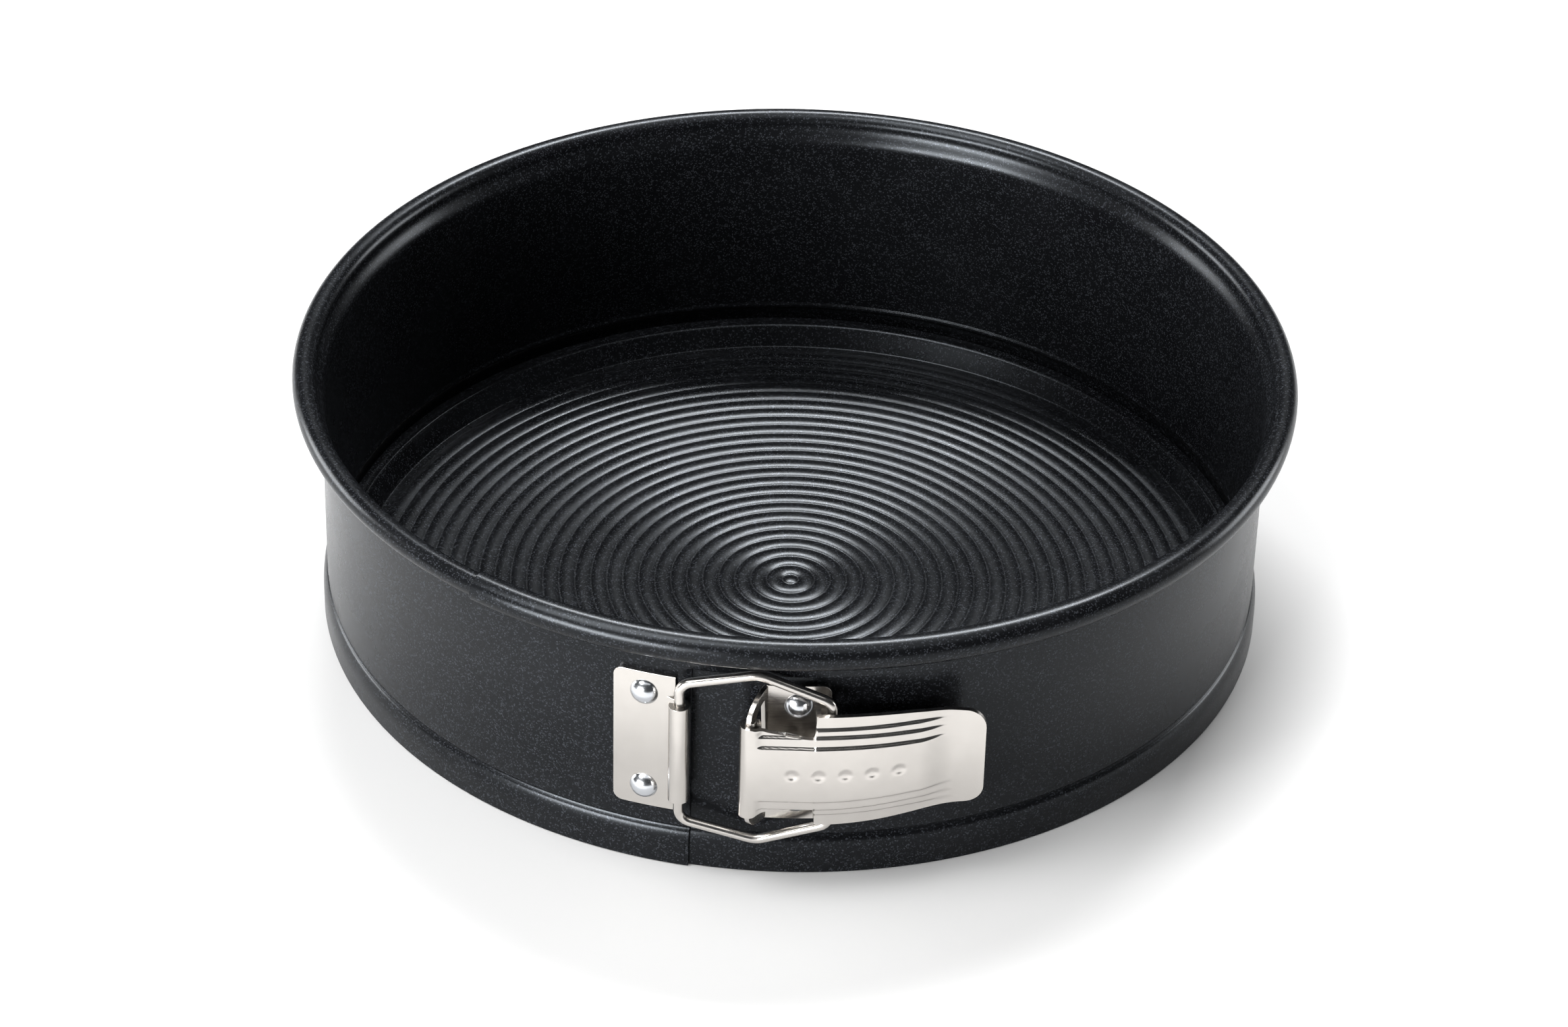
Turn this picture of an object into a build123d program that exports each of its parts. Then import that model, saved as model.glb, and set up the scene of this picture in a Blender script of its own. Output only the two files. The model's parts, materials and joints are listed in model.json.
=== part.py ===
from build123d import *
from math import cos, degrees, hypot, radians, sin
import os

# Springform baking tin, closed, standing on its base. Millimetres, +Z up.
# The origin is the centre of the base disc's underside. The latch is on the -Y side.
# Angles around the ring are measured from the front (-Y) and grow towards +X. Places named
# "along" are distances from the front along the outside of the wall, with the same sign.

# ---- side band: one strip of coated sheet steel bent into a ring whose ends lap at the front
band_inner_diameter = 229.2
band_sheet = 0.6
lap_gap = 0.15  # between the two layers of the lap
bead_centre_height = 64.8
bead_diameter = 5.6
bead_overhang = 4.0  # from the wall's outside to the centre of the bead
bead_curl_end = -125.0  # degrees, where the rolled edge stops
flare_rise = 5.3  # from the top of the straight wall to the bead's centre
lip_drop = 8.6  # from the bead's centre to the lower edge of the cap's flat lip
lip_bend = 1.0
cap_leave_angle = -80.0  # degrees, where the cap's roll turns off towards the lip

skirt_height = 5.4
shoulder_top = 9.3
shoulder_step = 1.1  # the skirt stands out from the wall by this much
shoulder_top_step = 0.1  # and the shoulder's upper end by this much
crease_height = 10.1
crease_depth = 0.25
crease_top = 11.3
wall_bends = (1.8, 0.6, 0.6, 1.5)  # radii from the skirt up to the straight wall

seam_along = -21.7  # the outer end of the strip
inner_end_along = -26.5  # the inner end of the strip, under the outer one
cap_end_along = -72.6  # the inner end's rim runs on this far over the outer end's bead
cap_start_angle = 45.0  # degrees, the rim is an ordinary bead from here round to the back

# ---- base disc: a shallow pressed tray with concentric ridges
base_sheet = 0.6
ridge_pitch = 4.0
ridge_height = 0.45
ridge_bend = 0.4
ridge_margin = 2.0  # at least this much flat floor between the last ridge and the tray's wall
floor_inset = 6.2  # from the inside of the band's wall to the foot of the tray's wall
tray_wall_run = 3.0  # how far the tray's wall leans outward
tray_bend = 0.9
flange_rise = 0.2  # of the flange's middle over the top of the skirt
flange_bend = 0.7
flange_clearance = 0.4  # to the inner layer of the skirt

# ---- latch: pressed from nickel-plated sheet
latch_sheet = 1.2
plate_width = 14.6
plate_corner = 2.2
plate_gap_below = 4.55  # from the crease to the brackets' plates
plate_gap_above = 2.65  # from the plates to the cap's lip
left_plate_along = -39.7
right_plate_along = -4.6
wire_diameter = 2.4
pivot_clearance = 0.08  # radial, of wire and pin in their barrels

bail_pivot_along = -23.6
bail_wall_gap = 1.12  # between the wall and the back of the bail's barrel
bail_barrel_inset = 5.6  # of the barrel's ends from the plate's ends
bail_neck_run = 3.6  # length along the wall over which the plate slopes out to the barrel
bail_far_x = 10.3
bail_left_rise = 0.25  # of the wire at the barrel beyond the plate's ends
bail_apex_rise = 4.55  # of the wire at its widest
bail_right_inset = 1.65  # of the wire's far leg within the plate's ends
bail_apex_share = 0.52  # where along the loop its widest point is
bail_corner_radius = 3.4
bail_apex_radius = 8.0

lever_pivot_x = -8.0
lever_wall_gap = 4.12  # between the wall and the back of the lever's barrel
lever_barrel_inset = 6.25
arm_gap = 0.35  # between the barrel's ends and the bracket's two arms
arm_height = 3.4
shoulder_inset = 3.55  # of the lever's wide part within the plate's ends
tab_inset = 5.95
tab_flare = 0.5  # the lever is this much wider where the tab starts than at its tip
tab_corner = 4.5
tab_start_x = 36.0
tab_tip_x = 45.2
tab_lap = 2.0  # length over which the tab and the stepped panel run together
bend_x = 22.0  # the lever curves back towards the wall through three points
bend_back = 2.45
tab_start_back = 7.0
tab_tip_back = 7.7
emboss_step = 0.6
emboss_insets = (7.05, 8.25, 11.15)
ear_depth = 3.2
ear_height = 4.4
ear_wire_gap = 1.4  # between the ears and the wire's far leg
bail_lever_gap = 0.78  # between the wire's far leg and the lever

# ---- rivets
rivet_head_diameter = 6.7
rivet_head_height = 2.0
rivet_shank_diameter = 3.2
rivet_tail_diameter = 6.0
rivet_tail_height = 0.5
rivet_inset = 5.5  # of a rivet's axis from the plate's end
rivet_tail_clearance = 0.02

# ---- sizes worked out from the above
wall_inner = band_inner_diameter / 2
wall_outer = wall_inner + band_sheet
wall_mid = wall_inner + band_sheet / 2
wall_straight_top = bead_centre_height - flare_rise
lip_bottom = bead_centre_height - lip_drop
lap_step = band_sheet + lap_gap
bead_radius = bead_diameter / 2
bead_centre = wall_outer + bead_overhang
bead_mid = bead_radius - band_sheet / 2

flange_height = skirt_height + flange_rise
flange_radius = wall_inner + shoulder_step - lap_step - flange_clearance
floor_radius = wall_inner - floor_inset
ridge_count = int((floor_radius - ridge_margin) / ridge_pitch - 0.5)

plate_bottom = crease_top + plate_gap_below
plate_height = lip_bottom - plate_gap_above - plate_bottom
plate_half = plate_height / 2
latch_height = plate_bottom + plate_half
barrel_bore = wire_diameter + 2 * pivot_clearance
barrel_radius = barrel_bore / 2 + latch_sheet
barrel_mid = barrel_radius - latch_sheet / 2
bail_barrel_length = plate_height - 2 * bail_barrel_inset
lever_barrel_length = plate_height - 2 * lever_barrel_inset
pin_half_length = lever_barrel_length / 2 + arm_gap + arm_height
shoulder_half = plate_half - shoulder_inset
tab_half = plate_half - tab_inset
outer_half, middle_half, panel_half = [plate_half - inset for inset in emboss_insets]

# The strip's left half is round about the origin. Its right half is round about a point half a
# lap step further back, with a radius half a step smaller, so it meets the left half at the
# back and runs one step inside it at the front.
right_axis = (0.0, lap_step / 2)
right_inset = lap_step / 2
right_wall = wall_outer - right_inset


def along_angle(distance):
    """Angle in degrees of a place this far along the outside of the wall."""
    return degrees(distance / wall_outer)


def front_point(radius, angle, centre=(0.0, 0.0)):
    """Point in plan at this radius, at an angle in degrees from the front towards +X."""
    a = radians(angle)
    return (centre[0] + radius * sin(a), centre[1] - radius * cos(a))


seam_angle = along_angle(seam_along)
inner_end_angle = along_angle(inner_end_along)
cap_end_angle = along_angle(cap_end_along)
left_plate_start = along_angle(left_plate_along)
right_plate_start = along_angle(right_plate_along)
bail_pivot_angle = along_angle(bail_pivot_along)
bail_pivot_radius = wall_outer + bail_wall_gap + barrel_radius
bail_pivot = front_point(bail_pivot_radius, bail_pivot_angle)
lever_pivot = (lever_pivot_x, -(wall_outer + lever_wall_gap + barrel_radius))

# The lever's middle panel is in line with the outside of its barrel and the border lies
# behind it. The wire's far leg lies behind the border, to the right of the ears.
panel_y = lever_pivot[1] - barrel_mid
border_y = panel_y + len(emboss_insets) * emboss_step
bail_far_leg = (bail_far_x, border_y + (latch_sheet + wire_diameter) / 2 + bail_lever_gap)
shoulder_x = bail_far_x - (latch_sheet + wire_diameter) / 2 - ear_wire_gap

os.makedirs("parts", exist_ok=True)


def rivet_planes(angle, centre, radius):
    """Planes of a bracket's two rivets on the wall, facing outward."""
    x, y = front_point(radius, angle, centre)
    outward = front_point(1, angle)
    return [
        Plane(
            origin=(x, y, latch_height + side * (plate_half - rivet_inset)),
            x_dir=(0, 0, 1),
            z_dir=(outward[0], outward[1], 0),
        )
        for side in (1, -1)
    ]


def plate_span(radius):
    """Angle in degrees that a bracket plate covers on a wall of this radius."""
    return degrees(plate_width / radius)


def wall_line(inset):
    """Middle of the sheet from the skirt's lower edge to the top of the straight wall."""
    mid = wall_mid - inset
    FilletPolyline(
        (mid + shoulder_step, 0),
        (mid + shoulder_step, skirt_height),
        (mid + shoulder_top_step, shoulder_top),
        (mid - crease_depth, crease_height),
        (mid, crease_top),
        (mid, wall_straight_top),
        radius=wall_bends,
    )


def flare_line(inset, bead_in):
    """Middle of the sheet from the straight wall out to the inner side of the bead."""
    mid = wall_mid - inset
    middle = ((mid + bead_in) / 2, (wall_straight_top + bead_centre_height) / 2)
    lower = TangentArc((mid, wall_straight_top), middle, tangent=(0, 1))
    TangentArc(middle, (bead_in, bead_centre_height), tangent=lower % 1)


def bead_section(inset):
    """Band section with the ordinary rolled bead."""
    centre = bead_centre - inset
    with BuildSketch(Plane.XZ) as section:
        with BuildLine():
            wall_line(inset)
            flare_line(inset, centre - bead_mid)
            CenterArc((centre, bead_centre_height), bead_mid, 180, bead_curl_end - 180)
        trace(line_width=band_sheet)
    return section.sketch


def cap_section(inset, with_wall):
    """Rim that wraps over the other end's bead and ends in a flat lip against the wall."""
    centre = bead_centre + lap_step - inset
    cap_mid = bead_radius + lap_gap + band_sheet / 2
    lip_mid = wall_outer + lap_step - inset + lap_gap + band_sheet / 2
    leave = radians(cap_leave_angle)
    leave_point = (centre + cap_mid * cos(leave), bead_centre_height + cap_mid * sin(leave))
    fall = (leave_point[0] - lip_mid) / -sin(leave) * cos(leave)
    with BuildSketch(Plane.XZ) as section:
        with BuildLine():
            if with_wall:
                wall_line(inset)
            else:
                Line((wall_mid - inset, lip_bottom), (wall_mid - inset, wall_straight_top))
            flare_line(inset, centre - cap_mid)
            CenterArc((centre, bead_centre_height), cap_mid, 180, cap_leave_angle - 180)
            FilletPolyline(
                leave_point,
                (lip_mid, leave_point[1] - fall),
                (lip_mid, lip_bottom),
                radius=lip_bend,
            )
        trace(line_width=band_sheet)
    return section.sketch


def swept_arc(section, start, end, centre):
    """The section revolved about a vertical axis from one angle to the other."""
    axis = Axis((centre[0], centre[1], 0), (0, 0, 1))
    placed = Pos(centre[0], centre[1], 0) * Rot(0, 0, start - 90) * section
    return revolve(placed, axis, revolution_arc=end - start)


# The left bracket sits on the outer end of the strip and the right one on the inner end.
left_rivet_angle = left_plate_start + plate_span(wall_outer) / 2
right_rivet_angle = right_plate_start + plate_span(right_wall) / 2
left_rivet_planes = rivet_planes(left_rivet_angle, (0, 0), wall_outer)
right_rivet_planes = rivet_planes(right_rivet_angle, right_axis, right_wall)

# ---------------------------------------------------------------- side band
with BuildPart() as side_band:
    add(swept_arc(bead_section(0), 180, 360 + seam_angle, (0, 0)))
    add(swept_arc(bead_section(right_inset), cap_start_angle, 180, right_axis))
    add(swept_arc(cap_section(right_inset, True), inner_end_angle, cap_start_angle, right_axis))
    add(swept_arc(cap_section(right_inset, False), cap_end_angle, inner_end_angle, right_axis))
    with Locations(*left_rivet_planes, *right_rivet_planes):
        Cylinder(rivet_shank_diameter / 2, 4 * band_sheet, mode=Mode.SUBTRACT)
side_band.part.label = "side_band"

# ---------------------------------------------------------------- base disc
base_floor = base_sheet / 2  # the middle of the sheet where its underside meets the table
with BuildPart() as base_disc:
    with BuildSketch(Plane.XZ) as base_section:
        with BuildLine():
            ridge_points = []
            for ridge in range(ridge_count):
                ridge_points.append(((ridge + 0.5) * ridge_pitch, base_floor))
                ridge_points.append(((ridge + 1) * ridge_pitch, base_floor + ridge_height))
            FilletPolyline(
                (0, base_floor + ridge_height),
                *ridge_points,
                ((ridge_count + 0.5) * ridge_pitch, base_floor),
                (floor_radius, base_floor),
                (floor_radius + tray_wall_run, flange_height),
                (flange_radius, flange_height),
                radius=(ridge_bend,) * (2 * ridge_count + 1) + (tray_bend, flange_bend),
            )
        trace(line_width=base_sheet)
        with Locations((-base_sheet, 0)):
            Rectangle(2 * base_sheet, 4 * flange_height, mode=Mode.SUBTRACT)
    revolve(axis=Axis.Z)
base_disc.part.label = "base_disc"


def wall_plate(start_angle, centre, radius, rounded_end):
    """Curved plate that lies on the wall, with rounded corners at one of its two ends."""
    end_angle = start_angle + plate_span(radius)
    free_angle = start_angle if rounded_end == "start" else end_angle
    with BuildPart() as plate:
        with BuildSketch(Plane.XY.offset(plate_bottom)):
            with Locations(centre):
                Circle(radius + latch_sheet)
                Circle(radius, mode=Mode.SUBTRACT)
            with BuildLine():
                Polyline(
                    centre,
                    front_point(2 * radius, start_angle, centre),
                    front_point(2 * radius, end_angle, centre),
                    close=True,
                )
            make_face(mode=Mode.INTERSECT)
        extrude(amount=plate_height)
        free_end = front_point(radius + latch_sheet / 2, free_angle, centre)
        thin_edges = plate.edges().filter_by(lambda e: abs(e.length - latch_sheet) < 0.01)
        corners = thin_edges.sort_by_distance((free_end[0], free_end[1], latch_height))[:2]
        fillet(corners, plate_corner)
    return plate.part


# ---------------------------------------------------------------- left bracket
neck_start_angle = along_angle(bail_pivot_along - bail_neck_run)
neck_start = front_point(wall_outer + latch_sheet / 2, neck_start_angle)
neck_end = front_point(bail_pivot_radius - barrel_mid, bail_pivot_angle)
with BuildPart() as left_bracket:
    add(wall_plate(left_plate_start, (0, 0), wall_outer, "start"))
    with BuildSketch(Plane.XY.offset(latch_height - bail_barrel_length / 2)):
        with BuildLine():
            Line(neck_start, neck_end)
        trace(line_width=latch_sheet)
        with Locations(bail_pivot):
            Circle(barrel_radius)
            Circle(barrel_bore / 2, mode=Mode.SUBTRACT)
    extrude(amount=bail_barrel_length)
    with Locations(*left_rivet_planes):
        Cylinder(rivet_shank_diameter / 2, 4 * latch_sheet, mode=Mode.SUBTRACT)
left_bracket.part.label = "left_bracket"

# ---------------------------------------------------------------- right bracket
# A web stands out from the plate's left edge. Past a window for the lever's barrel it ends in
# two arms that hold the pin.
web_root = front_point(right_wall + latch_sheet / 2, right_plate_start, right_axis)
web_length = hypot(lever_pivot[0] - web_root[0], lever_pivot[1] - web_root[1])
web_out = ((lever_pivot[0] - web_root[0]) / web_length, (lever_pivot[1] - web_root[1]) / web_length)
web_plane = Plane(
    origin=(web_root[0], web_root[1], latch_height),
    x_dir=(web_out[0], web_out[1], 0),
    z_dir=(-web_out[1], web_out[0], 0),
)
window_depth = barrel_radius + arm_gap
with BuildPart() as right_bracket:
    add(wall_plate(right_plate_start, right_axis, right_wall, "end"))
    with BuildSketch(web_plane) as web_outline:
        with BuildLine():
            Polyline(
                (0, -plate_half + plate_corner / 2),
                (web_length / 2, -pin_half_length - arm_height / 3),
                (web_length, -pin_half_length),
                (web_length, pin_half_length),
                (web_length / 2, pin_half_length + arm_height / 3),
                (0, plate_half - plate_corner / 2),
                close=True,
            )
        make_face()
        with Locations((web_length, 0)):
            Rectangle(
                2 * window_depth,
                lever_barrel_length + 2 * arm_gap,
                mode=Mode.SUBTRACT,
            )
    extrude(amount=latch_sheet / 2, both=True)
    with Locations((web_root[0], web_root[1], latch_height)):
        Cylinder(latch_sheet / 2, plate_height - plate_corner)
    with Locations((lever_pivot[0], lever_pivot[1], latch_height)):
        Cylinder(wire_diameter / 2, 2 * pin_half_length)
    with Locations(*right_rivet_planes):
        Cylinder(rivet_shank_diameter / 2, 4 * latch_sheet, mode=Mode.SUBTRACT)
right_bracket.part.label = "right_bracket"

# ---------------------------------------------------------------- latch lever
# One curved sheet. Its middle panel is pressed outward in three steps that run out before the
# thumb tab. The tongue at its left end is the panel alone, and rolls round into the barrel.
tab_start = (tab_start_x, border_y + tab_start_back)


def lever_line(level):
    """Middle of the sheet at one step of the panel, from the shoulder to the tab."""
    y = border_y - level * emboss_step
    return ThreePointArc((shoulder_x, y), (bend_x, y + bend_back), tab_start)


def lever_strip(level, low, high, with_tongue):
    """The two strips of the lever, above and below its middle, at one step of the panel."""
    with BuildPart() as strip:
        for start in (latch_height + low, latch_height - high):
            with BuildSketch(Plane.XY.offset(start)):
                with BuildLine():
                    lever_line(level)
                    if with_tongue:
                        y = border_y - level * emboss_step
                        Line((lever_pivot[0], panel_y), (shoulder_x, y))
                trace(line_width=latch_sheet)
            extrude(amount=high - low)
    return strip.part


with BuildPart() as latch_lever:
    add(lever_strip(0, outer_half, shoulder_half, False))
    add(lever_strip(1, middle_half, outer_half, False))
    add(lever_strip(2, panel_half, middle_half, True))
    add(lever_strip(3, 0, panel_half, True))
    with BuildSketch(Plane.XY.offset(latch_height - shoulder_half)):
        with BuildLine():
            border = lever_line(0)
            TangentArc(tab_start, (tab_tip_x, border_y + tab_tip_back), tangent=border % 1)
        trace(line_width=latch_sheet)
        with Locations((tab_start_x - tab_lap, border_y)):
            Rectangle(
                2 * tab_start_x,
                2 * tab_start_x,
                align=(Align.MAX, Align.CENTER),
                mode=Mode.SUBTRACT,
            )
    extrude(amount=2 * shoulder_half)
    # outline seen from the front
    with BuildSketch(Plane.XZ.offset(-border_y)) as outline:
        with BuildLine():
            Polyline(
                (lever_pivot[0] - latch_sheet, latch_height - shoulder_half),
                (shoulder_x, latch_height - shoulder_half),
                (tab_start_x, latch_height - tab_half - tab_flare),
                (tab_tip_x, latch_height - tab_half),
                (tab_tip_x, latch_height + tab_half),
                (tab_start_x, latch_height + tab_half + tab_flare),
                (shoulder_x, latch_height + shoulder_half),
                (lever_pivot[0] - latch_sheet, latch_height + shoulder_half),
                close=True,
            )
        make_face()
        tip_corners = outline.vertices().group_by(Axis.X)[-1]
        fillet(tip_corners, tab_corner)
    extrude(amount=tab_tip_x, both=True, mode=Mode.INTERSECT)
    # the tongue rolls round the pin
    with BuildSketch(Plane.XY.offset(latch_height - lever_barrel_length / 2)):
        with Locations(lever_pivot):
            Circle(barrel_radius)
    extrude(amount=lever_barrel_length)
    with Locations((lever_pivot[0], lever_pivot[1], latch_height)):
        Cylinder(barrel_bore / 2, 2 * shoulder_half, mode=Mode.SUBTRACT)
    # two ears bent back behind the wide part, on the near side of the wire
    for side in (1, -1):
        ear_middle = latch_height + side * (shoulder_half - ear_height / 2)
        with Locations((shoulder_x, border_y, ear_middle)):
            Box(
                latch_sheet,
                ear_depth,
                ear_height,
                align=(Align.CENTER, Align.MIN, Align.CENTER),
            )
            Cylinder(latch_sheet / 2, ear_height)
latch_lever.part.label = "latch_lever"

# ---------------------------------------------------------------- wire bail
bail_span = hypot(bail_far_leg[0] - bail_pivot[0], bail_far_leg[1] - bail_pivot[1])
bail_plane = Plane(
    origin=(bail_pivot[0], bail_pivot[1], latch_height),
    x_dir=(bail_far_leg[0] - bail_pivot[0], bail_far_leg[1] - bail_pivot[1], 0),
    z_dir=(bail_far_leg[1] - bail_pivot[1], -(bail_far_leg[0] - bail_pivot[0]), 0),
)
bail_apex = bail_apex_share * bail_span
bail_left_half = plate_half + bail_left_rise
bail_apex_half = plate_half + bail_apex_rise
bail_right_half = plate_half - bail_right_inset
with BuildPart() as wire_bail:
    with BuildLine(bail_plane) as bail_path:
        FilletPolyline(
            (0, bail_left_half),
            (bail_apex, bail_apex_half),
            (bail_span, bail_right_half),
            (bail_span, -bail_right_half),
            (bail_apex, -bail_apex_half),
            (0, -bail_left_half),
            radius=(
                bail_corner_radius,
                bail_apex_radius,
                bail_corner_radius,
                bail_corner_radius,
                bail_apex_radius,
                bail_corner_radius,
            ),
            close=True,
        )
    with BuildSketch(bail_path.line ^ 0):
        Circle(wire_diameter / 2)
    sweep(path=bail_path.line)
wire_bail.part.label = "wire_bail"


# ---------------------------------------------------------------- rivets
def rivet(plane, name):
    """Domed rivet through a bracket and the band, with a flat tail inside.

    The tail stands off by as much as the wall curves across it and a clearance.
    """
    head_base = latch_sheet
    wall_sag = rivet_tail_diameter**2 / (4 * band_inner_diameter)
    tail_base = -band_sheet - wall_sag - rivet_tail_clearance
    dome = (rivet_head_diameter**2 / 4 + rivet_head_height**2) / (2 * rivet_head_height)
    with BuildPart() as piece:
        with BuildSketch(Plane.XZ):
            with BuildLine():
                Polyline(
                    (0, head_base + rivet_head_height),
                    (0, tail_base - rivet_tail_height),
                    (rivet_tail_diameter / 2, tail_base - rivet_tail_height),
                    (rivet_tail_diameter / 2, tail_base),
                    (rivet_shank_diameter / 2, tail_base),
                    (rivet_shank_diameter / 2, head_base),
                    (rivet_head_diameter / 2, head_base),
                )
                RadiusArc(
                    (rivet_head_diameter / 2, head_base),
                    (0, head_base + rivet_head_height),
                    -dome,
                )
            make_face()
        revolve(axis=Axis.Z)
    placed = plane * piece.part
    placed.label = name
    return placed


rivets = [
    rivet(left_rivet_planes[0], "left_rivet_upper"),
    rivet(left_rivet_planes[1], "left_rivet_lower"),
    rivet(right_rivet_planes[0], "right_rivet_upper"),
    rivet(right_rivet_planes[1], "right_rivet_lower"),
]

for piece in (side_band, base_disc, left_bracket, right_bracket, latch_lever, wire_bail):
    export_step(piece.part, f"parts/{piece.part.label}.step")
for piece in rivets:
    export_step(piece, f"parts/{piece.label}.step")
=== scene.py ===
"""Springform pan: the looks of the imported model, built around its frame. Metres, +Z up, latch at -Y."""
import json
from math import acos, atan2, cos, degrees, hypot, pi, radians, sin, sqrt, tan

import bmesh
import bpy
from mathutils import Matrix, Vector


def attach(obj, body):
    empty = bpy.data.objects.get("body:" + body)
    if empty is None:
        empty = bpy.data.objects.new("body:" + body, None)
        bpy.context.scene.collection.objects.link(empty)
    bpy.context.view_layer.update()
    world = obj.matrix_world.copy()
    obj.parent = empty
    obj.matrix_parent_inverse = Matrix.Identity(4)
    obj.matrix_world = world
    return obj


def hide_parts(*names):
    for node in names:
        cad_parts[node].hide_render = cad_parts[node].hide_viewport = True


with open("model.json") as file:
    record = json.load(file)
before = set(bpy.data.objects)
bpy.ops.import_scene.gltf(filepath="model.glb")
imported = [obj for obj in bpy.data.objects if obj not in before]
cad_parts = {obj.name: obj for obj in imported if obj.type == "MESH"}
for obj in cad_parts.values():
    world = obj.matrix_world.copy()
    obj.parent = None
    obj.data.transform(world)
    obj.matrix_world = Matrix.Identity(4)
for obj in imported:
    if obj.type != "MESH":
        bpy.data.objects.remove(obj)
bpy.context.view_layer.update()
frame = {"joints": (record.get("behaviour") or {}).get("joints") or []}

MM = 0.001  # metres in a millimetre

# ---------------------------------------------------------------- sizes, in millimetres
# The same driving dimensions as the CAD model.
WALL_INNER = 114.6
BAND_SHEET = 0.6
LAP_GAP = 0.15
WALL_STRAIGHT_TOP = 59.5
BEAD_HEIGHT = 64.8
BEAD_RADIUS = 2.8
BEAD_OVERHANG = 4.0
LIP_BOTTOM = 56.2
SKIRT_HEIGHT = 5.4
SHOULDER_TOP = 9.3
SHOULDER_STEP = 1.1
CREASE_HEIGHT = 10.1
CREASE_DEPTH = 0.25
CREASE_TOP = 11.3
SEAM_ANGLE = -10.8
INNER_END_ANGLE = -13.2
CAP_END_ANGLE = -36.1
CAP_FULL_UNTIL = 28.0
CAP_GONE_FROM = 80.0

FLOOR_RADIUS = 108.4
RIDGE_PITCH = 4.0
RIDGE_COUNT = 26
RIDGE_HEIGHT = 0.45
BASE_SHEET = 0.6
TRAY_WALL_RUN = 3.0
FLANGE_HEIGHT = 5.6
FLANGE_RADIUS = 114.55

LATCH_SHEET = 1.2
LATCH_HEIGHT = 34.7
PLATE_WIDTH = 14.6
PLATE_HEIGHT = 37.7
PLATE_CORNER = 2.2
WIRE_RADIUS = 1.2
PIVOT_CLEARANCE = 0.08
BARREL_LENGTH_LEFT = 26.5
BARREL_LENGTH_LEVER = 25.2
LEFT_PLATE_START = -19.75
RIGHT_PLATE_START = -2.3
RIVET_SPACING = 26.7
RIVET_RADIUS = 3.35
RIVET_HEIGHT = 2.0
SHANK_RADIUS = 1.6
RIVET_TAIL_RADIUS = 3.0
RIVET_TAIL_GAP = 0.06
RIVET_TAIL_HEIGHT = 0.5

WALL_OUTER = WALL_INNER + BAND_SHEET
WALL_MID = WALL_INNER + BAND_SHEET / 2
LAP_STEP = BAND_SHEET + LAP_GAP
RIGHT_INSET = LAP_STEP / 2
BARREL_MID = WIRE_RADIUS + PIVOT_CLEARANCE + LATCH_SHEET / 2

joints = {joint["name"]: joint for joint in frame["joints"]}
LEVER_PIVOT = Vector(joints["lever_swing"]["pos_m"]) / MM
BAIL_PIVOT = Vector(joints["bail_swing"]["pos_m"]) / MM


# ---------------------------------------------------------------- camera
def add_camera():
    """The main view: over the latch, looking down into the pan from the front. Degrees and metres."""
    elevation = 35.44
    distance = 1.1888
    focal_in_widths = 3.0233
    aim_yaw, aim_pitch, roll = 0.0995, 0.822, 1.595
    data = bpy.data.cameras.new("camera")
    data.sensor_fit = "HORIZONTAL"
    data.sensor_width = 36.0
    data.lens = focal_in_widths * data.sensor_width
    camera = bpy.data.objects.new("camera", data)
    bpy.context.scene.collection.objects.link(camera)
    place = Vector((0, -distance * cos(radians(elevation)), distance * sin(radians(elevation))))
    camera.matrix_world = (
        Matrix.Translation(place)
        @ Matrix.Rotation(radians(90 - elevation), 4, "X")
        @ Matrix.Rotation(radians(aim_yaw), 4, "Y")
        @ Matrix.Rotation(radians(aim_pitch), 4, "X")
        @ Matrix.Rotation(radians(roll), 4, "Z")
    )
    bpy.context.scene.camera = camera


# ---------------------------------------------------------------- materials
def new_material(name):
    """A material, its node tree and its shader."""
    material = bpy.data.materials.new(name)
    material.use_nodes = True
    tree = material.node_tree
    return material, tree, tree.nodes["Principled BSDF"]


def node(tree, kind, inputs=None, **settings):
    """A shader node with its settings and unlinked inputs."""
    made = tree.nodes.new(kind)
    for key, value in settings.items():
        setattr(made, key, value)
    for key, value in (inputs or {}).items():
        made.inputs[key].default_value = value
    return made


def ramp(tree, stops):
    """A colour ramp of (position, grey or colour) stops."""
    made = tree.nodes.new("ShaderNodeValToRGB")
    elements = made.color_ramp.elements
    while len(elements) < len(stops):
        elements.new(0.5)
    for element, (position, colour) in zip(elements, stops):
        element.position = position
        if not isinstance(colour, tuple):
            colour = (colour, colour, colour)
        element.color = (*colour, 1)
    return made


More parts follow.
